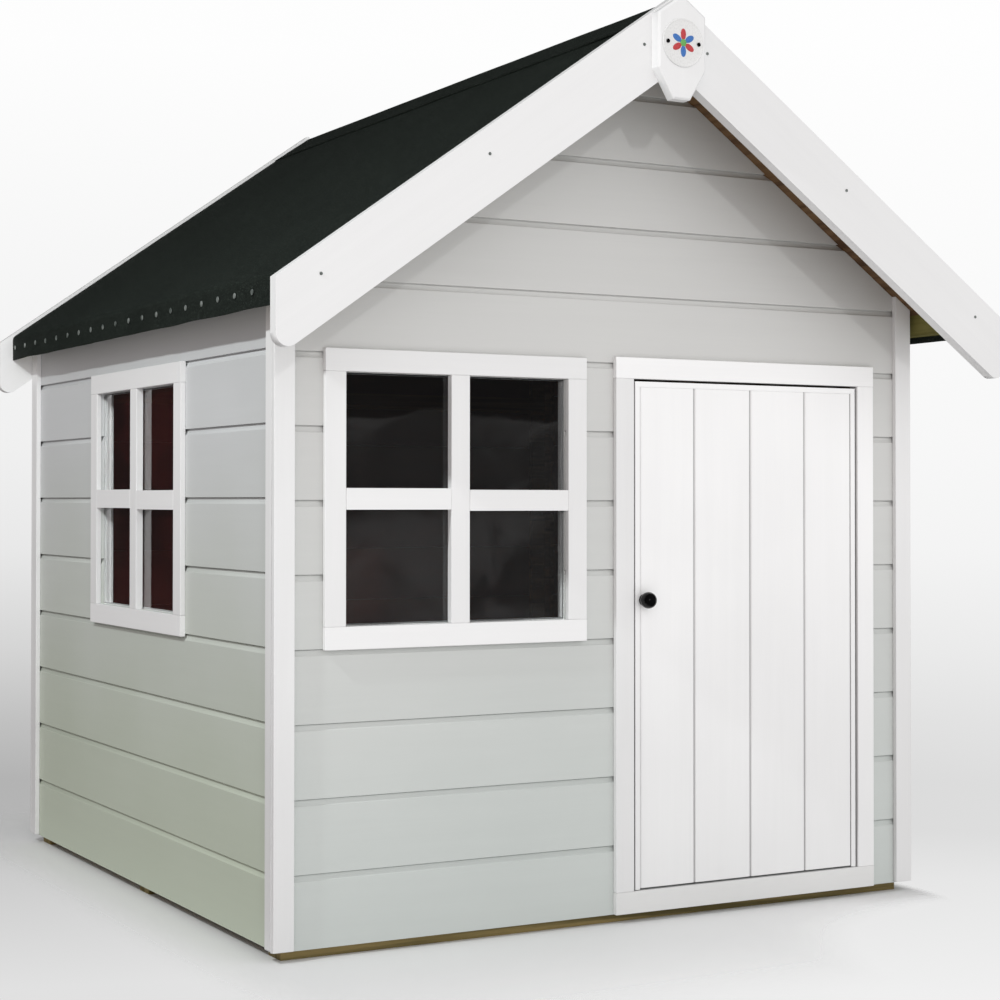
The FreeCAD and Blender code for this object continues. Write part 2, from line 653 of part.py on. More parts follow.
def make_roof_slope(side, name):
    front = "-roof_front"
    length = "(roof_front + roof_back)"
    plumb = f"(board_thk * {SLANT})"
    cover = f"(eave_run / {ROOF_BOARDS})"
    boards = []
    for index in range(ROOF_BOARDS):
        start = f"{index} * {cover} + joint_gap"
        end = f"{index + 1} * {cover} - joint_gap"
        corners = sloping(side, start, end, "ridge_height", plumb)
        if index:
            corners[3:] = notched(side, start, plumb)
        boards.append(cross_section(corners, front, length))
    node(group(boards), f"roof_boards_{name}")

    inner = "(eave_run - eave_batten_width)"
    deep = f"(roof_batten_depth * {SLANT})"
    battens = []
    for start, size in ((front, "roof_batten_width"),
                        ("cabin_depth / 2", "roof_back - cabin_depth / 2")):
        corners = sloping(side, "joint_gap", f"{inner} - joint_gap", ROOF_UNDER, deep)
        battens.append(cross_section(corners, start, size))
    eave_top = f"{ROOF_UNDER} - roof_rise * "
    corners = [
        (f"{side} * eave_run", "eave_base"), (f"{side} * {inner}", "eave_base"),
        (f"{side} * {inner}", f"{eave_top}{inner}"), (f"{side} * eave_run", f"{eave_top}eave_run"),
    ]
    battens.append(cross_section(corners, front, length))
    node(group(battens), f"roof_battens_{name}")

    felt_rise = f"(felt_thk * {SLANT})"
    outer = "(eave_run + felt_thk)"
    corners = [
        ("0", "ridge_height"), (f"{side} * eave_run", "ridge_height - roof_rise * eave_run"),
        (f"{side} * eave_run", "eave_base - felt_lip"), (f"{side} * {outer}", "eave_base - felt_lip"),
        (f"{side} * {outer}", f"ridge_height + {felt_rise} - roof_rise * {outer}"),
        ("0", f"ridge_height + {felt_rise}"),
    ]
    node(cross_section(corners, front, length), f"roof_felt_{name}")


def make_ridge_cap():
    lower = f"ridge_height + felt_thk * {SLANT}"
    upper = f"ridge_height + 2 * felt_thk * {SLANT}"
    corners = [
        ("-cap_run", f"{lower} - roof_rise * cap_run"), ("0", lower),
        ("cap_run", f"{lower} - roof_rise * cap_run"), ("cap_run", f"{upper} - roof_rise * cap_run"),
        ("0", upper), ("-cap_run", f"{upper} - roof_rise * cap_run"),
    ]
    node(cross_section(corners, "-roof_front", "roof_front + roof_back"), "roof_felt_ridge_cap")


def make_bargeboard(side, facing):
    """A sloping fascia with a plumb end whose lower corner is rounded."""
    side_name = "left" if side < 0 else "right"
    plumb = f"(barge_width * {SLANT})"
    corners = sloping(side, "barge_joint", f"{side_name}_barge_run", "barge_apex", plumb)
    start = "-roof_front - barge_thk" if facing == "front" else "roof_back"
    body = cross_section(corners, start, "barge_thk")
    doc.recompute()
    pad = body.Tip
    corner_x = value_of(corners[2][0])
    corner_z = value_of(corners[2][1])
    names = [f"Edge{number}" for number, edge in enumerate(pad.Shape.Edges, start=1)
             if all(abs(v.Point.x - corner_x) < SAME_PLACE
                    and abs(v.Point.z - corner_z) < SAME_PLACE for v in edge.Vertexes)]
    rounding = body.newObject("PartDesign::Fillet", "Rounding")
    rounding.Base = (pad, names)
    bind(rounding, "Radius", "barge_round")
    node(body, f"bargeboard_{facing}_{side_name}")


def make_bargeboard_screws():
    screws = []
    for facing, y, inward in (("front", "-roof_front - barge_thk", (0, 1, 0)),
                              ("back", "roof_back + barge_thk", (0, -1, 0))):
        for side, name in ((-1, "left"), (1, "right")):
            for index in range(BARGE_SCREWS):
                run = f"({name}_screw_run + {index} * {name}_screw_step)"
                height = f"barge_apex - barge_screw_drop - roof_rise * {run}"
                screws.append(screw((f"{side} * {run}", y, height), inward,
                                    "barge_screw_length", "small_head_rad"))
    node(group(screws), "bargeboard_screws")


def make_clout_nails():
    nails = []
    for side in (-1, 1):
        for index in range(EAVE_NAILS):
            y = f"nail_start + {index} * nail_step"
            start = (f"{side} * (eave_run + felt_thk)", y, "nail_height")
            head = rod("nail_head_rad", "nail_head_thk", start, (side, 0, 0))
            shank = rod("nail_rad", "nail_length", start, (-side, 0, 0))
            nails.append(fused([head, shank]))
    node(group(nails), "clout_nails")


def make_plaque():
    """The shaped plaque over the joint of the front bargeboards, and its round badge."""
    shoulder = "(plaque_apex - roof_rise * plaque_half)"
    corners = [
        ("-plaque_base_half", "plaque_base"), ("plaque_base_half", "plaque_base"),
        ("plaque_half", "plaque_shoulder"), ("plaque_half", shoulder), ("0", "plaque_apex"),
        ("-plaque_half", shoulder), ("-plaque_half", "plaque_shoulder"),
    ]
    back = "(-roof_front - barge_thk)"
    body = cross_section(corners, f"{back} - plaque_thk", "plaque_thk")
    doc.recompute()
    pad = body.Tip
    front_faces = [f"Face{number}" for number, face in enumerate(pad.Shape.Faces, start=1)
                   if face.normalAt(0, 0).y < -0.99]
    bevel = body.newObject("PartDesign::Chamfer", "Bevel")
    bevel.Base = (pad, front_faces)
    bind(bevel, "Size", "plaque_bevel")
    node(body, "apex_plaque")

    front = f"{back} - plaque_thk"
    node(rod("badge_rad", "badge_thk", ("0", front, "badge_height"), (0, -1, 0)), "apex_badge")
    screws = [screw((f"{side} * badge_screw_run", f"{front} - badge_thk", "badge_height"),
                    (0, 1, 0), "badge_screw_length") for side in (-1, 1)]
    node(group(screws), "apex_badge_screws")


def make_roof():
    for side, name in ((-1, "left"), (1, "right")):
        make_roof_slope(side, name)
        make_bargeboard(side, "front")
        make_bargeboard(side, "back")
    make_clout_nails()
    make_ridge_cap()
    make_bargeboard_screws()
    make_plaque()


def check_document():
    for piece in doc.Objects:
        if "Invalid" in piece.State or "Error" in piece.State:
            raise RuntimeError(f"{piece.Label}: {piece.State}")
    for piece in nodes:
        if piece.Shape.isNull() or not piece.Shape.isValid() or piece.Shape.Volume <= 0:
            raise RuntimeError(f"{piece.Label}: bad shape")


make_floor()
make_cladding()
make_frames()
make_corner_trims()
make_window("front_window", "front_window_u", "front")
make_window("side_window", "side_window_u", "left")
make_door_frame()
make_door_leaf()
make_knob()
make_hinges()
make_roof()

doc.recompute()
check_document()
os.makedirs("parts", exist_ok=True)
for piece in nodes:
    piece.Shape.exportStep(f"parts/{piece.Label}.step")
    print(piece.Label, len(piece.Shape.Solids), round(piece.Shape.Volume))
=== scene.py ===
import math

import bpy
from mathutils import Matrix, Vector, noise


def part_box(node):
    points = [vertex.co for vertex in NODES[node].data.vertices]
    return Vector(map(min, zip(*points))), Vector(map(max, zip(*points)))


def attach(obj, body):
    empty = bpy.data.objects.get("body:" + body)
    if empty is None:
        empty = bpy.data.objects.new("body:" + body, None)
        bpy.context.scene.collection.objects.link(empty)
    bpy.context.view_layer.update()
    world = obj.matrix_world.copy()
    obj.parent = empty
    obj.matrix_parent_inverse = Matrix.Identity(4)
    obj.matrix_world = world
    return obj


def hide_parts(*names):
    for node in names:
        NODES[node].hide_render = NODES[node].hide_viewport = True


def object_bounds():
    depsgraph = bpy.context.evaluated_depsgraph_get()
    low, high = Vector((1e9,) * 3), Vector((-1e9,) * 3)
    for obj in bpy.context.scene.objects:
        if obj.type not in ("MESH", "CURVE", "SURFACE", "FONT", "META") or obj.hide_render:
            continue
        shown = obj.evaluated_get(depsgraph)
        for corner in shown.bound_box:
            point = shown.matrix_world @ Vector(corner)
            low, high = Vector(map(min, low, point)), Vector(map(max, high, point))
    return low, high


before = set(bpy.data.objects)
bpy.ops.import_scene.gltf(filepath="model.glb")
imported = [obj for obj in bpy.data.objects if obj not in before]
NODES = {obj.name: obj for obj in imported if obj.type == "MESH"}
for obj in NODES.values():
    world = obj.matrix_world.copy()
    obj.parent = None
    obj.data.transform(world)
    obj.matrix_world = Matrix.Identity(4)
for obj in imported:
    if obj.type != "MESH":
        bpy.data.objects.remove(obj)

# A painted timber playhouse.  Metres, +Z up, -Y is the front wall with the door.
CAD_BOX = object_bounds()
# What a wall board covers on the front and back and on the sides, and where the lowest starts.
BOARD = 0.112
SIDE_BOARD = 0.1127
BOARD_START = 0.015
BOARD_THICK = 0.012
HALF_CABIN = -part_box("left_cladding")[0].x
ROOF_RISE = 0.7
ROOF_SLOPE = math.atan(ROOF_RISE)


# ------------------------------------------------------------------ shader maths

class Signal:
    """One output socket, with the sums that finishes are written in."""

    def __init__(self, finish, socket):
        self.finish = finish
        self.socket = socket

    def maths(self, operation, first, second):
        return self.finish.node("ShaderNodeMath", {0: first, 1: second}, operation=operation)

    def __add__(self, other):
        return self.maths("ADD", self, other)

    def __radd__(self, other):
        return self.maths("ADD", other, self)

    def __sub__(self, other):
        return self.maths("SUBTRACT", self, other)

    def __rsub__(self, other):
        return self.maths("SUBTRACT", other, self)

    def __mul__(self, other):
        return self.maths("MULTIPLY", self, other)

    def __rmul__(self, other):
        return self.maths("MULTIPLY", other, self)

    def __truediv__(self, other):
        return self.maths("DIVIDE", self, other)

    def floor(self):
        return self.maths("FLOOR", self, 0.0)

    def size(self):
        return self.maths("ABSOLUTE", self, 0.0)

    def positive(self):
        return self.maths("MAXIMUM", self, 0.0)

    def root(self):
        return self.maths("SQRT", self, 0.0)


class Finish:
    """A material, or the studio's backdrop, under construction."""

    def __init__(self, name, kept_in=bpy.data.materials, place="Object"):
        self.made = kept_in.new(name)
        self.made.use_nodes = True
        self.tree = self.made.node_tree
        self.tree.nodes.clear()
        self.place = self.node("ShaderNodeTexCoord", output=place)

    def node(self, kind, inputs=None, output=0, stops=None, **settings):
        made = self.tree.nodes.new(kind)
        for name, value in settings.items():
            setattr(made, name, value)
        if stops:
            ramp = made.color_ramp.elements
            while len(ramp) < len(stops):
                ramp.new(0.5)
            for element, (position, colour) in zip(ramp, stops):
                element.position = position
                element.color = (*colour, 1.0)
        for key, value in (inputs or {}).items():
            if isinstance(value, Signal):
                self.tree.links.new(value.socket, made.inputs[key])
            else:
                made.inputs[key].default_value = value
        return Signal(self, made.outputs[output])

    def part(self, axis):
        """One coordinate of a point: X, Y, or Z for its height above the ground."""
        return self.node("ShaderNodeSeparateXYZ", {0: self.place}, output=axis)

    def stretched(self, scale, turn=(0, 0, 0)):
        """Places turned, then scaled, to make a pattern follow a board."""
        turned = self.node("ShaderNodeVectorRotate", {"Vector": self.place, "Rotation": turn},
                           rotation_type="EULER_XYZ")
        return self.node("ShaderNodeVectorMath", {0: turned, 1: scale}, operation="MULTIPLY")

    def noise(self, vector, scale, detail=3.0, roughness=0.5, distortion=0.0):
        return self.node("ShaderNodeTexNoise", {
            "Vector": vector, "Scale": scale, "Detail": detail,
            "Roughness": roughness, "Distortion": distortion})

    def step(self, value, low, high, to_low=0.0, to_high=1.0):
        return self.node("ShaderNodeMapRange", {
            "Value": value, "From Min": low, "From Max": high,
            "To Min": to_low, "To Max": to_high}, interpolation_type="SMOOTHSTEP")

    def blend(self, factor, first, second):
        return self.node("ShaderNodeMix", {0: factor, 6: first, 7: second}, output=2,
                         data_type="RGBA")

    def inside(self, low, high, soft=0.0004):
        """1 inside an upright box and 0 outside it."""
        mask = 1.0
        for axis, first, last in zip("XYZ", low, high):
            place = self.part(axis)
            mask = mask * self.step(place, first - soft, first)
            mask = mask * (1.0 - self.step(place, last, last + soft))
        return mask

    def scaled(self, colour, amount):
        """A colour made lighter or darker."""
        return self.node("ShaderNodeVectorMath", {0: colour, "Scale": amount}, operation="SCALE")

    def bump(self, height, distance, strength=1.0):
        return self.node("ShaderNodeBump", {
            "Height": height, "Distance": distance, "Strength": strength})

    def principled(self, **sockets):
        """A Principled shader; the socket names use _ for a space."""
        inputs = {name.replace("_", " "): value for name, value in sockets.items()}
        return self.node("ShaderNodeBsdfPrincipled", inputs)

    def surface(self, **sockets):
        """Close the material with one Principled shader."""
        return self.closed(self.principled(**sockets))

    def closed(self, shader, kind="ShaderNodeOutputMaterial"):
        out = self.tree.nodes.new(kind)
        self.tree.links.new(shader.socket, out.inputs["Surface"])
        return self.made


def srgb(red, green, blue):
    """A colour given as a paint chart would, 0 to 255, as linear light."""
    def linear(level):
        share = level / 255
        return share / 12.92 if share <= 0.04045 else ((share + 0.055) / 1.055) ** 2.4
    return (linear(red), linear(green), linear(blue), 1.0)


def along(axis, lengthwise, crosswise):
    """Scales that make a pattern long along one axis of the house."""
    return tuple(lengthwise if name == axis else crosswise for name in "xyz")


# ------------------------------------------------------------------ finishes

BOARD_SEED = 0.37
BOARD_CHANGE = 0.035
FOOT_FADE_LOW, FOOT_FADE_HIGH = 0.15, 1.05
PAINT_WRAP = 0.001
GROOVE_FADE = 0.0022
KNOT_LOW, KNOT_HIGH = 0.05, 0.16
KNOT_SHADE = 0.32
GRANULES = 900.0
PANE_SHADE_EDGE = 0.004


def painted(name, colour, axis, tilt=0.0, pitch=None, foot=None, gloss=0.42, through=None,
            groove=None, shade=0.6):
    """Satin paint over planed softwood: faint grain, brush marks and board to board change.

    axis is the way the grain runs, tilted for a sloping board, and foot is a darker colour near
    the
    ground: painted shade towards the ground.  pitch is the cover of the boards, which differ a
    little.
    through names the axis across a wall, whose inner face is bare timber, dark as painted shade
    of the cabin's inside.  groove is the depth at which a door's grooves begin, beyond which the
    tone
    is multiplied by shade: painted shade in the grooves and in the gap round the leaf.
    """
    f = Finish(name)
    turn = (0.0, tilt, 0.0)
    grain = f.noise(f.stretched(along(axis, 2.2, 55.0), turn), 1.0, 6.0, 0.62, 0.4)
    brush = f.noise(f.stretched(along(axis, 7.0, 420.0), turn), 1.0, 2.0)
    cloud = f.noise(f.place, 3.1, 3.0)
    speck = f.noise(f.place, 900.0, 2.0)
    tone = 0.965 + (cloud - 0.5) * 0.06 + (grain - 0.5) * 0.05 + (brush - 0.5) * 0.02
    if pitch:
        index = ((f.part("Z") - BOARD_START) / pitch).floor()
        chance = f.node("ShaderNodeTexWhiteNoise", {"W": index + BOARD_SEED},
                        noise_dimensions="1D")
        tone = tone + (chance - 0.5) * BOARD_CHANGE
    # Painted shade: towards the ground the colour fades to the darker foot colour.
    above_foot = f.step(f.part("Z") + cloud * 0.25, FOOT_FADE_LOW, FOOT_FADE_HIGH)
    base = f.blend(above_foot, foot or colour, colour)
    ripple = grain * 0.55 + brush * 0.3 + speck * 0.15
    # The inner faces of the walls are bare timber, made dark as painted shade of the cabin's
    # inside.
    if through:
        inner_face = HALF_CABIN - BOARD_THICK
        outside = f.step(f.part(through).size(), inner_face, inner_face + PAINT_WRAP)
        base = f.blend(outside, f.blend(grain, BARE_INSIDE, BARE_INSIDE_DARK), base)
    # Painted shade: deeper than the groove depth the tone is darkened, in the door's grooves and
    # in the gap round the leaf.
    if groove:
        tone = tone * f.step(f.part("Y"), groove, groove + GROOVE_FADE, 1.0, shade)
    return f.surface(
        Base_Color=f.scaled(base, tone),
        Roughness=gloss + (cloud - 0.5) * 0.16 + (brush - 0.5) * 0.1,
        Specular_IOR_Level=0.4,
        Normal=f.bump(ripple, 0.0006, 0.35))


def bare(name, light, dark, axis, rough=0.62, reveal=None):
    """Unpainted softwood: growth rings cut along the board, fine pores and a few knots.

    reveal is a window's opening, as a box; the faces that line it are painted.
    """
    f = Finish(name)
    wander = f.noise(f.stretched(along(axis, 0.9, 6.0)), 1.0, 3.0)
    rings = f.noise(f.stretched(along(axis, 1.2, 46.0)), 1.0, 4.0, 0.6, 0.8)
    pores = f.noise(f.stretched(along(axis, 30.0, 700.0)), 1.0, 2.0)
    cells = f.node("ShaderNodeTexVoronoi", {
        "Vector": f.stretched(along(axis, 2.0, 9.0)), "Scale": 1.0})
    knots = 1.0 - f.step(cells, KNOT_LOW, KNOT_HIGH)
    figure = f.step(rings + (wander - 0.5) * 0.5, 0.35, 0.68)
    wood = f.blend(figure, light, dark)
    knot_colour = tuple(channel * KNOT_SHADE for channel in dark[:3]) + (1.0,)
    wood = f.blend(knots * 0.8, wood, knot_colour)
    wood = f.scaled(wood, 0.92 + (pores - 0.5) * 0.22 + wander * 0.12)
    relief = figure * 0.4 + pores * 0.6
    if reveal:
        lining = f.inside(*reveal)
        wood = f.blend(lining, wood, WHITE)
        relief = relief * (1.0 - lining)
    return f.surface(
        Base_Color=wood,
        Roughness=rough + (rings - 0.5) * 0.2,
        Specular_IOR_Level=0.3,
        Normal=f.bump(relief, 0.0005, 0.4))


def mineral_felt():
    """Roofing felt: dark green mineral granules on bitumen, a little scuffed."""
    f = Finish("roofing_felt")
    grit = f.node("ShaderNodeTexVoronoi", {"Vector": f.place, "Scale": GRANULES}, output="Color")
    size = f.node("ShaderNodeTexVoronoi", {"Vector": f.place, "Scale": GRANULES})
    level = f.node("ShaderNodeSeparateColor", {0: grit}, output=0)
    patch = f.noise(f.place, 5.0, 4.0, 0.6)
    streak = f.noise(f.stretched((2.0, 26.0, 26.0)), 1.0, 4.0)
    colour = f.node("ShaderNodeValToRGB", {0: level}, stops=[
        (0.0, (0.006, 0.009, 0.007)), (0.55, (0.012, 0.016, 0.013)),
        (0.86, (0.02, 0.027, 0.022)), (1.0, (0.052, 0.064, 0.054))])
    tone = 0.66 + patch * 0.34 + streak * 0.22
    return f.surface(
        Base_Color=f.scaled(colour, tone),
        Roughness=0.86 + (level - 0.5) * 0.18,
        Specular_IOR_Level=0.16,
        Normal=f.bump(size * 0.7 + patch * 0.5, 0.0009, 0.7))


def acrylic(name, dust, film_and_cast_colour, shade_above):
    """A clear plastic pane, flat and glossy, with a film wiped thin in swathes: grey dust on the
    front pane, while on the side pane the film's red is painted, the colour of the dark cabin
    seen through it.

    Above a given height, give or take a wave, there is hardly any film, so the pane is darker
    there: painted shade under the window head.
    """
    f = Finish(name)
    swathe = f.noise(f.stretched((4.0, 4.0, 6.0), (0.0, 0.5, 0.0)), 1.0, 5.0, 0.55, 0.9)
    haze = f.noise(f.place, 26.0, 4.0)
    film = f.step(swathe, 0.42, 0.6, 0.4, 1.1) + (haze - 0.5) * 0.3
    height = f.part("Z") + (swathe - 0.5) * 0.12
    # Painted shade: above the given height the film is thinned to a tenth, so the pane is darker
    # under the window head.
    film = film * f.step(height, shade_above - PANE_SHADE_EDGE, shade_above + PANE_SHADE_EDGE, 1.0, 0.1)
    clear = f.principled(
        Base_Color=f.blend(haze, srgb(250, 250, 250), srgb(244, 246, 245)),
        Roughness=0.012 + (haze - 0.5) * 0.01,
        Transmission_Weight=1.0,
        IOR=1.49,
        Normal=f.bump(swathe, 0.0004, 0.1))
    # On the side pane this film's red is painted: the colour of the dark cabin seen through the
    # pane.
    film_shader = f.principled(
        Base_Color=f.scaled(film_and_cast_colour[:3], 0.9 + haze * 0.2),
        Roughness=0.8 + (haze - 0.5) * 0.2,
        Normal=f.bump(haze, 0.0002, 0.3))
    pane = f.node("ShaderNodeMixShader", {0: film * dust, 1: clear, 2: film_shader})
    for_lamps = f.node("ShaderNodeLightPath", output="Is Shadow Ray")
    let_through = f.node("ShaderNodeBsdfTransparent", {0: (1.0,) * 4})
    return f.closed(f.node("ShaderNodeMixShader", {0: for_lamps, 1: pane, 2: let_through}))


def zinc():
    f = Finish("zinc_plate")
    spangle = f.noise(f.place, 420.0, 3.0)
    smudge = f.noise(f.place, 60.0, 2.0)
    return f.surface(
        Base_Color=f.blend(smudge, srgb(150, 152, 152), srgb(112, 113, 112)),
        Metallic=0.9,
        Roughness=0.34 + (spangle - 0.5) * 0.3,
        Normal=f.bump(spangle, 0.0001, 0.5))


def nail_head():
    """Galvanised clout heads, dulled and smeared with bitumen."""
    f = Finish("dulled_zinc")
    smudge = f.noise(f.place, 90.0, 3.0)
    return f.surface(
        Base_Color=f.blend(f.step(smudge, 0.35, 0.7), srgb(156, 162, 158), srgb(84, 92, 88)),
        Metallic=0.35,
        Roughness=0.42 + (smudge - 0.5) * 0.3,
        Normal=f.bump(smudge, 0.0003, 0.6))


def black_plastic():
    f = Finish("black_plastic")
    swirl = f.noise(f.place, 240.0, 3.0)
    scuff = f.noise(f.place, 55.0, 4.0)
    return f.surface(
        Base_Color=f.blend(scuff, srgb(6, 6, 7), srgb(14, 14, 15)),
        Roughness=0.12 + (scuff - 0.5) * 0.1,
        Specular_IOR_Level=0.3,
        Normal=f.bump(swirl, 0.00005, 0.4))


def enamel(name, colour):
    """Printed, lacquered badge colours."""
    f = Finish(name)
    mottle = f.noise(f.place, 320.0, 3.0)
    return f.surface(
        Base_Color=f.scaled(colour[:3], 0.94 + mottle * 0.1),
        Roughness=0.28 + (mottle - 0.5) * 0.12,
        Coat_Weight=0.3,
        Normal=f.bump(mottle, 0.00006, 0.4))


# The _FOOT colours, darker than the colours above them, are painted shade towards the ground;
# the side walls' foot is also greener, a green film.
WALL = srgb(213, 213, 211)
WALL_FOOT = srgb(195, 200, 197)
# The side walls' paint is the front's paint a little darker and cooler: a shaded copy, painted
# shade.
SIDE_WALL = srgb(206, 208, 209)
SIDE_FOOT = srgb(190, 198, 181)
WHITE = srgb(239, 239, 239)
WHITE_FOOT = srgb(222, 222, 222)
# Painted shade: the right-hand bargeboards take the trims' white a little darker.
SHADED_RIGHT_WHITE = srgb(236, 236, 236)
# The door's white is brighter than the trims'; on the door frame's head and right jamb it is a
# painted highlight.
DOOR_WHITE = srgb(254, 254, 254)
DOOR_FOOT = srgb(230, 230, 230)
# Painted shade: the door sill's white is darker, for the shade near the floor.
SHADED_SILL_WHITE = srgb(220, 220, 219)
# Bare timber inside the walls, darker than the sawn frames: painted shade of the cabin's inside.
BARE_INSIDE = srgb(96, 54, 44)
BARE_INSIDE_DARK = srgb(70, 38, 32)
SAWN = srgb(128, 98, 66)
SAWN_DARK = srgb(88, 62, 40)


def opening_of(pane, across):
    """The window opening round a pane, deep enough to take in the frame that lines it."""
    low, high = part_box(pane)
    round_pane, through_wall = 0.0015, 0.05
    spare = [through_wall if axis == across else round_pane for axis in "xyz"]
    return ([value - more for value, more in zip(low, spare)],
            [value + more for value, more in zip(high, spare)])


GREY_FILM = srgb(188, 188, 188)
# Painted: the red of the dark cabin seen through the side pane, laid on as a film.
RED_CABIN_CAST = srgb(156, 52, 48)
# Above this height the front pane's film is thin: painted shade under the window head.
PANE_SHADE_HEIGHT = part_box("front_window_pane")[1].z - 0.065
FRONT_REVEAL = opening_of("front_window_pane", "y")
SIDE_REVEAL = opening_of("side_window_pane", "x")
# Just behind the front faces of the door's boards and of the leaf's lippings: there the painted
# shade of the grooves and of the gap round the leaf begins.
BOARD_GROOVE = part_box("door_boards")[0].y + 0.0006
LEAF_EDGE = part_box("door_lippings")[0].y + 0.001

FINISHES = {
    "walls_front": painted("wall_paint_front", WALL, "x", pitch=BOARD, foot=WALL_FOOT, gloss=0.5,
                           through="Y"),
    "walls_side": painted("wall_paint_side", SIDE_WALL, "y", pitch=SIDE_BOARD, foot=SIDE_FOOT,
                          gloss=0.5, through="X"),
    "white_x": painted("white_paint_rails", WHITE, "x"),
    "white_y": painted("white_paint_side_rails", WHITE, "y"),
    "white_z": painted("white_paint_uprights", WHITE, "z", foot=WHITE_FOOT),
    "white_left": painted("white_paint_left_slope", WHITE, "x", tilt=ROOF_SLOPE),
    "white_right": painted("white_paint_right_slope", SHADED_RIGHT_WHITE, "x", tilt=-ROOF_SLOPE),
    "frame_front": bare("sawn_softwood_front", SAWN, SAWN_DARK, "x", reveal=FRONT_REVEAL),
    "frame_back": bare("sawn_softwood_back", SAWN, SAWN_DARK, "x"),
    "frame_left": bare("sawn_softwood_left", SAWN, SAWN_DARK, "y", reveal=SIDE_REVEAL),
    "frame_y": bare("sawn_softwood_y", SAWN, SAWN_DARK, "y"),
    "floor": bare("floor_softwood", srgb(172, 142, 104), srgb(134, 102, 68), "y", rough=0.5),
    "treated_x": bare("treated_softwood_x", srgb(138, 120, 74), srgb(88, 78, 40), "x"),
    "treated_y": bare("treated_softwood_y", srgb(136, 130, 72), srgb(98, 92, 44), "y"),
    "felt": mineral_felt(),
    "front_pane": acrylic("front_acrylic", 0.021, GREY_FILM, PANE_SHADE_HEIGHT),
    "side_pane": acrylic("side_acrylic", 0.028, RED_CABIN_CAST, CAD_BOX[1].z),
    "door": painted("door_paint", DOOR_WHITE, "z", foot=DOOR_FOOT, groove=BOARD_GROOVE),
    # The lippings' edges in the gap round the leaf are painted deep shade.
    "lipping": painted("door_edge_paint", DOOR_WHITE, "z", foot=DOOR_FOOT,
                       groove=LEAF_EDGE, shade=0.22),
    # The door frame's head takes the door's brighter white: a painted highlight.
    "door_head": painted("door_head_paint", DOOR_WHITE, "x"),
    "door_sill": painted("door_sill_paint", SHADED_SILL_WHITE, "x"),
    "zinc": zinc(),
    "nails": nail_head(),
    "black": black_plastic(),
    "badge": enamel("badge_cream", srgb(232, 232, 231)),
    "petal_red": enamel("badge_red", srgb(196, 70, 74)),
    "petal_blue": enamel("badge_blue", srgb(70, 120, 190)),
    "petal_green": enamel("badge_green", srgb(110, 176, 96)),
}

NODE_FINISH = {
    "floor_bearers": "treated_x", "floor_boards": "floor",
    "front_cladding": "walls_front", "back_cladding": "walls_front",
    "left_cladding": "walls_side", "right_cladding": "walls_side",
    "front_frame": "frame_front", "back_frame": "frame_back",
    "left_frame": "frame_left", "right_frame": "frame_y",
    "roof_boards_left": "frame_y", "roof_boards_right": "frame_y",
    "roof_battens_left": "treated_y", "roof_battens_right": "treated_y",
    "bargeboard_front_left": "white_left", "bargeboard_back_left": "white_left",
    "bargeboard_front_right": "white_right", "bargeboard_back_right": "white_right",
    "apex_plaque": "white_z", "apex_badge": "badge", "apex_badge_screws": "black",
    "roof_felt_left": "felt", "roof_felt_right": "felt", "roof_felt_ridge_cap": "felt",
    "clout_nails": "nails", "bargeboard_screws": "nails",
    "door_boards": "door", "door_lippings": "lipping", "door_ledges": "white_x",
    "door_knob": "black", "door_knob_rose": "black", "door_knob_bolt": "zinc",
    "hinge_frame_flaps": "zinc", "hinge_door_flaps": "zinc", "hinge_pins": "zinc",
    "hinge_frame_screws": "zinc", "hinge_door_screws": "zinc",
    # The head and the right jamb take the door's brighter white, a painted highlight; the right
    # jamb also gets the door's painted shade behind the boards' front face. The left jamb has
    # the trims' white.
    "door_frame_head": "door_head", "door_frame_sill": "door_sill",
    "door_frame_jamb_left": "white_z", "door_frame_jamb_right": "door",
    "front_window_pane": "front_pane", "side_window_pane": "side_pane",
}
for window, rail in (("front_window", "white_x"), ("side_window", "white_y")):
    for part, finish in (("head", rail), ("sill", rail), ("crossbars", rail), ("beads", rail),
                         ("stiles", "white_z"), ("muntin", "white_z")):
        NODE_FINISH[f"{window}_{part}"] = finish
for corner in ("front_left", "front_right", "back_left", "back_right"):
    NODE_FINISH[f"corner_trim_{corner}"] = "white_z"


def finish_nodes():
    for name, node in NODES.items():
        node.data.materials.clear()
        node.data.materials.append(FINISHES[NODE_FINISH[name]])


# ------------------------------------------------------------------ softened edges

SAME_POINT = 0.00001
SHARP_EDGE = math.radians(28)
EASED = {
    0.0025: [name for name in NODES if name.startswith(("bargeboard_front", "bargeboard_back"))],
    0.0012: [name for name in NODES if name.startswith(("corner_trim", "door_frame",
                                                        "front_window", "side_window"))
             and not name.endswith(("pane", "beads"))],
    0.0008: ["front_cladding", "back_cladding", "left_cladding", "right_cladding",
             "door_boards", "door_lippings", "apex_plaque", "floor_bearers"],
}


def ease_edges():
    """Sanded arrises on the boards listed in EASED, which catch the light."""
    for width, names in EASED.items():
        for name in names:
            node = NODES[name]
            weld = node.modifiers.new("weld", "WELD")
            weld.merge_threshold = SAME_POINT
            bevel = node.modifiers.new("eased", "BEVEL")
            bevel.width = width
            bevel.segments = 2
            bevel.limit_method = "ANGLE"
            bevel.angle_limit = SHARP_EDGE
            bevel.harden_normals = True


# ------------------------------------------------------------------ hand modelling

def start():
    bpy.ops.object.select_all(action="DESELECT")


def apply_modifiers(piece):
    start()
    piece.select_set(True)
    bpy.context.view_layer.objects.active = piece
    for modifier in list(piece.modifiers):
        bpy.ops.object.modifier_apply(modifier=modifier.name)


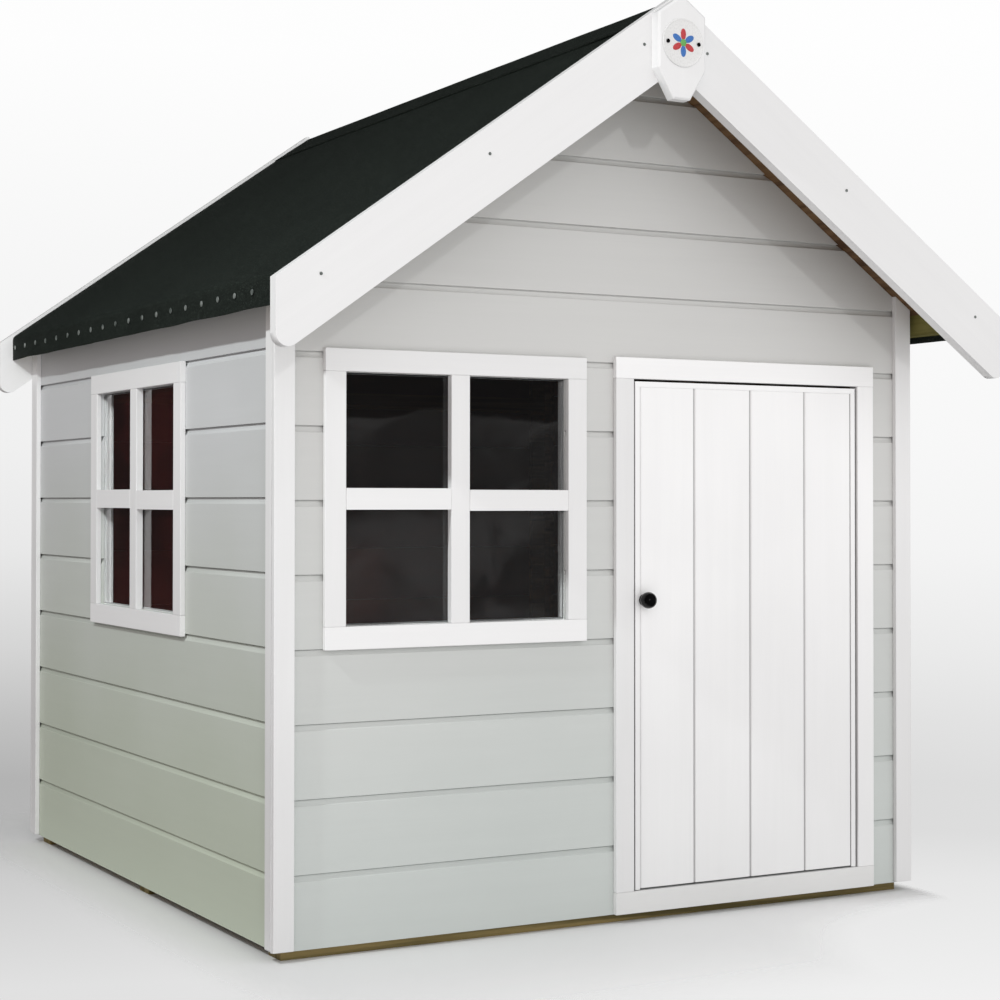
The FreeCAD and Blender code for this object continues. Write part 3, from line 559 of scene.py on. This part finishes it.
def complete(piece, name, finish, body="house", smooth=40.0):
    """Put the piece's place in its mesh, name it, paint it and fix it to its body."""
    apply_modifiers(piece)
    bpy.ops.object.transform_apply(location=True, rotation=True, scale=True)
    bpy.ops.object.mode_set(mode="EDIT")
    bpy.ops.mesh.select_all(action="SELECT")
    bpy.ops.mesh.normals_make_consistent(inside=False)
    bpy.ops.object.mode_set(mode="OBJECT")
    bpy.ops.object.shade_smooth_by_angle(angle=math.radians(smooth))
    piece.name = name
    piece.data.name = name
    piece.data.materials.clear()
    piece.data.materials.append(FINISHES[finish])
    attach(piece, body)
    return piece


def joined(pieces):
    start()
    for piece in pieces:
        piece.select_set(True)
    bpy.context.view_layer.objects.active = pieces[0]
    bpy.ops.object.join()
    return pieces[0]


def copied(piece, place, turn):
    twin = piece.copy()
    twin.data = piece.data.copy()
    bpy.context.scene.collection.objects.link(twin)
    twin.location = place
    twin.rotation_euler = turn
    return twin


def turned(sides, centre, outwards, profile):
    """A lathe-turned piece: each (radius, advance) is one more ring along outwards."""
    start()
    radius, advance = profile[0]
    direction = Vector(outwards)
    bpy.ops.mesh.primitive_circle_add(
        vertices=sides, radius=radius, fill_type="NGON", location=Vector(centre),
        rotation=direction.to_track_quat("Z", "Y").to_euler())
    bpy.ops.object.mode_set(mode="EDIT")
    bpy.ops.mesh.select_all(action="SELECT")
    for next_radius, next_advance in profile[1:]:
        step = direction * (next_advance - advance)
        bpy.ops.mesh.extrude_region_move(TRANSFORM_OT_translate={"value": step})
        factor = next_radius / radius
        middle = Vector(centre) + direction * next_advance
        bpy.ops.transform.resize(value=(factor, factor, factor), center_override=middle)
        radius, advance = next_radius, next_advance
    bpy.ops.object.mode_set(mode="OBJECT")
    return bpy.context.object


# ------------------------------------------------------------------ roofing felt

FELT = 0.0022
FELT_GRID = 150
HANG_FROM, HANG_SPAN = 0.93, 0.07
BOARDS_APART = 0.0002
FELT_LOW, FELT_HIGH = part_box("roof_felt_left")
CAP_LOW, CAP_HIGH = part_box("roof_felt_ridge_cap")
RIDGE_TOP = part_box("roof_boards_left")[1].z + ROOF_RISE * BOARDS_APART
EAVE_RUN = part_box("roof_boards_right")[1].x
CAP_RUN = CAP_HIGH.x
NAIL_LOW, NAIL_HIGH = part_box("clout_nails")


def slope_profile(share):
    """A point of the felt's middle line, from the ridge over the eave and down to the lip."""
    fold = 0.007
    over = FELT * 0.62
    slope_end = EAVE_RUN - 0.003
    slope_length = slope_end / math.cos(ROOF_SLOPE)
    arc = fold * (math.pi / 2 - ROOF_SLOPE)
    top = RIDGE_TOP + over / math.cos(ROOF_SLOPE)
    eave_height = top - ROOF_RISE * slope_end
    drop = eave_height - fold * math.cos(ROOF_SLOPE) - FELT_LOW.z
    along_it = share * (slope_length + arc + drop)
    if along_it < slope_length:
        run = along_it * math.cos(ROOF_SLOPE)
        return run, top - ROOF_RISE * run, ROOF_SLOPE
    centre_run = slope_end - fold * math.sin(ROOF_SLOPE)
    centre_height = eave_height - fold * math.cos(ROOF_SLOPE)
    turn = min((along_it - slope_length) / fold + ROOF_SLOPE, math.pi / 2)
    run = centre_run + fold * math.sin(turn)
    height = centre_height + fold * math.cos(turn)
    return run, height - max(along_it - slope_length - arc, 0.0), turn


def felt_slope(side, name):
    """One sheet of felt, dressed over the eave, with slack between its nails."""
    start()
    bpy.ops.mesh.primitive_grid_add(x_subdivisions=FELT_GRID, y_subdivisions=FELT_GRID, size=1.0)
    sheet = bpy.context.object
    length = FELT_HIGH.y - FELT_LOW.y
    for point in sheet.data.vertices:
        share = point.co.x + 0.5
        y = FELT_LOW.y + (point.co.y + 0.5) * length
        run, height, facing = slope_profile(share)
        hang = max((share - HANG_FROM) / HANG_SPAN, 0.0)
        slack = 0.0007 * noise.noise((run * 5.0, y * 4.0, side)) + 0.0004
        slack += hang * 0.0011 * noise.noise((y * 17.0, 3.0 * side, 0.4))
        lift = hang * 0.0016 * noise.noise((y * 9.0, 7.0, side))
        point.co = (side * (run + slack * math.sin(facing)), y,
                    height + slack * math.cos(facing) + lift)
    wall = sheet.modifiers.new("thickness", "SOLIDIFY")
    wall.thickness = FELT
    wall.offset = 0.0
    complete(sheet, f"felt_{name}", "felt")
    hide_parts(f"roof_felt_{name}")


def ridge_cap():
    """A strip of felt folded over the ridge, its edges a little uneven."""
    start()
    bpy.ops.mesh.primitive_grid_add(x_subdivisions=48, y_subdivisions=180, size=1.0)
    cap = bpy.context.object
    length = CAP_HIGH.y - CAP_LOW.y
    crown = 0.012
    top = RIDGE_TOP + 1.72 * FELT / math.cos(ROOF_SLOPE)
    for point in cap.data.vertices:
        across = point.co.x * 2.0
        y = CAP_LOW.y + (point.co.y + 0.5) * length
        edge = max(abs(across) - 0.8, 0.0) / 0.2
        wander = edge * 0.003 * noise.noise((y * 6.0, across, 1.7))
        run = abs(across) * CAP_RUN + wander
        rounding = crown * math.exp(-run / crown) * ROOF_RISE * 0.55
        height = top - ROOF_RISE * run - rounding + edge * 0.0012 * (
            1.0 + noise.noise((y * 11.0, across * 2.0, 5.1)))
        height += 0.0005 * noise.noise((run * 30.0, y * 8.0, 2.2))
        tail = max((y - CAP_HIGH.y + 0.02) / 0.02, 0.0)
        point.co = (math.copysign(run, across), y, height - 0.002 * tail * tail)
    wall = cap.modifiers.new("thickness", "SOLIDIFY")
    wall.thickness = FELT
    wall.offset = 0.0
    complete(cap, "felt_ridge_cap", "felt")
    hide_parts("roof_felt_ridge_cap")


def clout_nails():
    """Large flat galvanised heads, dished by the hammer, along both eave folds."""
    count = 19
    head = 0.0046
    proud = EAVE_RUN + 0.0026
    middle = (NAIL_LOW.z + NAIL_HIGH.z) / 2
    first = NAIL_LOW.y + head
    spacing = (NAIL_HIGH.y - NAIL_LOW.y - 2 * head) / (count - 1)
    heads = []
    for side in (-1, 1):
        pattern = turned(18, (side * (proud - 0.012), 0.0, 0.0), (side, 0.0, 0.0), [
            (0.0014, 0.0), (0.0014, 0.0116), (head, 0.0118), (head, 0.0124),
            (head * 0.86, 0.0128), (head * 0.4, 0.01265), (head * 0.1, 0.0126)])
        for index in range(count):
            wobble = noise.noise((index * 1.7, side * 3.0, 0.3))
            place = pattern.location + Vector((
                0.0, first + index * spacing + 0.002 * wobble,
                middle + 0.0022 * noise.noise((index * 2.3, side, 9.0))))
            heads.append(copied(pattern, place, pattern.rotation_euler))
        bpy.data.objects.remove(pattern)
    nails = complete(joined(heads), "clout_nail_heads", "nails", smooth=30.0)
    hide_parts("clout_nails")


# ------------------------------------------------------------------ door knob and badge

def door_knob():
    """A moulded ball on a flared neck."""
    low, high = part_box("door_knob")
    radius = (high.x - low.x) / 2
    centre = Vector(((low.x + high.x) / 2, high.y, (low.z + high.z) / 2))
    reach = high.y - low.y - radius
    profile = [(0.0062, 0.0), (0.0056, 0.0012), (0.0048, 0.0035), (0.0052, 0.0060)]
    for index in range(3, 18):
        angle = math.pi * index / 18
        flat = 0.0006 if index > 13 else 0.0
        profile.append((radius * math.sin(angle), reach - radius * math.cos(angle) - flat))
    knob = turned(48, centre, (0.0, -1.0, 0.0), profile)
    complete(knob, "knob", "black", body="door")
    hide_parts("door_knob")


def badge():
    """A round plate with a rolled rim and a plain six-petalled flower on it."""
    low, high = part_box("apex_badge")
    radius = (high.x - low.x) / 2
    centre = Vector(((low.x + high.x) / 2, high.y, (low.z + high.z) / 2))
    plate = turned(96, centre, (0.0, -1.0, 0.0), [
        (radius * 0.985, 0.0), (radius, 0.0006), (radius, 0.0013), (radius * 0.985, 0.0019),
        (radius * 0.955, 0.0020), (radius * 0.94, 0.0015), (radius * 0.90, 0.0014)])
    complete(plate, "badge_plate", "badge", smooth=50.0)
    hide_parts("apex_badge")

    face = centre + Vector((0.0, -0.0012, 0.0))
    for index in range(6):
        angle = math.tau * index / 6
        out = Vector((math.sin(angle), 0.0, math.cos(angle)))
        petal = turned(28, face + out * radius * 0.35, (0.0, -1.0, 0.0), [
            (0.0072, 0.0), (0.0072, 0.0006), (0.0062, 0.0010), (0.0040, 0.0011)])
        bpy.ops.object.transform_apply(location=False, rotation=True, scale=True)
        petal.scale = (0.68, 1.0, 1.22)
        petal.rotation_euler = (0.0, angle, 0.0)
        colour = ("petal_red", "petal_blue")[index % 2]
        complete(petal, f"badge_petal_{index + 1}", colour)
    eye = turned(28, face, (0.0, -1.0, 0.0), [
        (0.0056, 0.0), (0.0056, 0.0008), (0.0044, 0.0014), (0.0018, 0.0016)])
    complete(eye, "badge_eye", "petal_green")


def build_pieces():
    felt_slope(-1, "left")
    felt_slope(1, "right")
    ridge_cap()
    clout_nails()
    door_knob()
    badge()


# ------------------------------------------------------------------ stage

# The floor is solid up to FLOOR_CLEAR from the house and gone at FLOOR_GONE, sooner at the
# sides, and sooner still round the corner that the light reaches.
FLOOR_RADIUS = 1.6
FLOOR_CLEAR = 0.02
FLOOR_GONE = 0.55
SIDEWAYS_FADE = 3.3
LIT_FROM = 0.1
LIT_CORNER_FADE = 4.5
# Backdrop levels by how far a direction rises, from the floor's haze to the ceiling; the dip to
# about 0.45 just below the horizon is a painted shadow of the house on the floor.
BACKDROP = ((-0.232, 0.75), (-0.2, 0.66), (-0.18, 0.6), (-0.158, 0.46), (-0.135, 0.45),
            (-0.107, 0.53), (-0.073, 0.66), (-0.024, 0.81), (0.025, 0.87), (0.22, 0.985))
# How much of the soft light comes from everywhere, and from each side.
SOFT = {"all": 0.04, "above": 0.12, "right": 0.45, "left": 0.2, "front": 1.1, "back": 0.32}
SOFT_LEFT = (1.0, 0.88, 0.87, 1.0)
SEEN_IN_GLOSS = 0.05
# Away from the direction across at which it is darkest, the backdrop is lifted towards white;
# its darkest side is a painted shadow of the house.
BACKDROP_DARKEST = 0.26
BACKDROP_SPREAD = 0.46
BACKDROP_LIFT = 0.5
KEY_TOWARDS = (-0.22, -0.95, 0.23)
KEY_STRENGTH = 0.27
KEY_SPREAD = 2.0
SIDE_LAMP_PLACE = (-2.3, -0.9, 2.2)
SIDE_LAMP_AIM = (-0.6, -0.1, 0.7)
SIDE_LAMP_POWER = 29.0
SIDE_LAMP_SIZE = 0.08
SIDE_LAMP_COLOUR = (0.95, 1.0, 1.0)
# Where the camera is, which way it looks and which way is right.
EYE = (-1.79685, -3.33155, 0.6870)
LOOKING = (0.4710, 0.8820, 0.0142)
RIGHTWARD = (0.8821, -0.4711, 0.0010)
LENS = 71.91
SENSOR = 36.0
SHIFT_X, SHIFT_Y = 0.0664, -0.0283


def build_floor():
    """A pale floor that fades into the backdrop a little way out from the house."""
    start()
    bpy.ops.mesh.primitive_circle_add(vertices=96, radius=FLOOR_RADIUS, fill_type="NGON",
                                      location=(0.0, 0.0, 0.0))
    floor = bpy.context.object
    floor.name = "studio_floor"
    f = Finish("studio_floor")
    dust = f.noise(f.place, 2.0, 4.0)
    across = (f.part("X").size() - HALF_CABIN).positive() * SIDEWAYS_FADE
    deep = (f.part("Y").size() - HALF_CABIN).positive()
    out = (across * across + deep * deep).root()
    out = out * f.step(f.part("X"), LIT_FROM, HALF_CABIN, 1.0, LIT_CORNER_FADE)
    from_below = f.node("ShaderNodeNewGeometry", output="Backfacing")
    floor.data.materials.append(f.surface(
        Base_Color=f.blend(dust, srgb(232, 232, 232), srgb(236, 236, 236)),
        Roughness=0.6 + (dust - 0.5) * 0.1,
        Specular_IOR_Level=0.25,
        Alpha=(1.0 - f.step(out, FLOOR_CLEAR, FLOOR_GONE)) * (1.0 - from_below)))


def build_backdrop():
    """Soft light all round; what is seen behind the house is its own pale gradient, with a
    painted shadow of the house in its darker band and side.
    """
    f = Finish("studio", bpy.data.worlds, "Generated")
    bpy.context.scene.world = f.made
    across, deep, up = f.part("X"), f.part("Y"), f.part("Z")
    light = (SOFT["all"] + SOFT["above"] * up.positive() + SOFT["right"] * across.positive()
             + SOFT["left"] * (0.0 - across).positive() + SOFT["front"] * (0.0 - deep).positive()
             + SOFT["back"] * deep.positive())
    lowest, highest = BACKDROP[0][0], BACKDROP[-1][0]
    rise = (up - lowest) / (highest - lowest)
    stops = [((place - lowest) / (highest - lowest), (level,) * 3) for place, level in BACKDROP]
    seen = f.node("ShaderNodeValToRGB", {0: rise}, stops=stops)
    seen = f.node("ShaderNodeRGBToBW", {0: seen})
    away = (across - BACKDROP_DARKEST).size()
    seen = seen + (1.0 - seen) * f.step(away, 0.0, BACKDROP_SPREAD) * BACKDROP_LIFT
    ray = f.tree.nodes.new("ShaderNodeLightPath")
    direct = Signal(f, ray.outputs["Is Camera Ray"])
    mirrored = Signal(f, ray.outputs["Is Glossy Ray"])
    lit = light * (1.0 - mirrored * (1.0 - SEEN_IN_GLOSS))
    strength = lit + (seen - lit) * direct
    leftward = (0.0 - across).positive()
    tint = f.blend(leftward * leftward * (1.0 - direct), (1.0,) * 4, SOFT_LEFT)
    background = f.node("ShaderNodeBackground", {"Strength": strength, "Color": tint})
    f.closed(background, "ShaderNodeOutputWorld")


def far_light(name, towards, strength, spread):
    """A light so far off that its rays are parallel; towards points at the light."""
    light = bpy.data.lights.new(name, "SUN")
    light.energy = strength
    light.angle = math.radians(spread)
    lamp = bpy.data.objects.new(name, light)
    bpy.context.scene.collection.objects.link(lamp)
    lamp.rotation_euler = Vector(towards).to_track_quat("Z", "Y").to_euler()


def near_light(name, place, aim, power, size, colour):
    """A small softbox at a place, turned towards the point that it lights."""
    light = bpy.data.lights.new(name, "AREA")
    light.energy = power
    light.size = size
    light.color = colour
    lamp = bpy.data.objects.new(name, light)
    bpy.context.scene.collection.objects.link(lamp)
    lamp.location = place
    lamp.rotation_euler = (Vector(place) - Vector(aim)).to_track_quat("Z", "Y").to_euler()


def build_lights():
    far_light("key", KEY_TOWARDS, KEY_STRENGTH, KEY_SPREAD)
    near_light("side_key", SIDE_LAMP_PLACE, SIDE_LAMP_AIM, SIDE_LAMP_POWER, SIDE_LAMP_SIZE,
               SIDE_LAMP_COLOUR)


def build_camera():
    """Eye height is about that of a child, at the house's front left."""
    camera = bpy.data.cameras.new("camera")
    camera.lens = LENS
    camera.sensor_width = SENSOR
    camera.shift_x = SHIFT_X
    camera.shift_y = SHIFT_Y
    holder = bpy.data.objects.new("camera", camera)
    bpy.context.scene.collection.objects.link(holder)
    forward = Vector(LOOKING).normalized()
    right = Vector(RIGHTWARD).normalized()
    up = right.cross(forward).normalized()
    right = forward.cross(up)
    turn = Matrix((right, up, -forward)).transposed().to_4x4()
    holder.matrix_world = Matrix.Translation(EYE) @ turn
    bpy.context.scene.camera = holder


finish_nodes()
ease_edges()
build_pieces()
build_floor()
build_backdrop()
build_lights()
build_camera()
bpy.context.scene.view_settings.view_transform = "Standard"
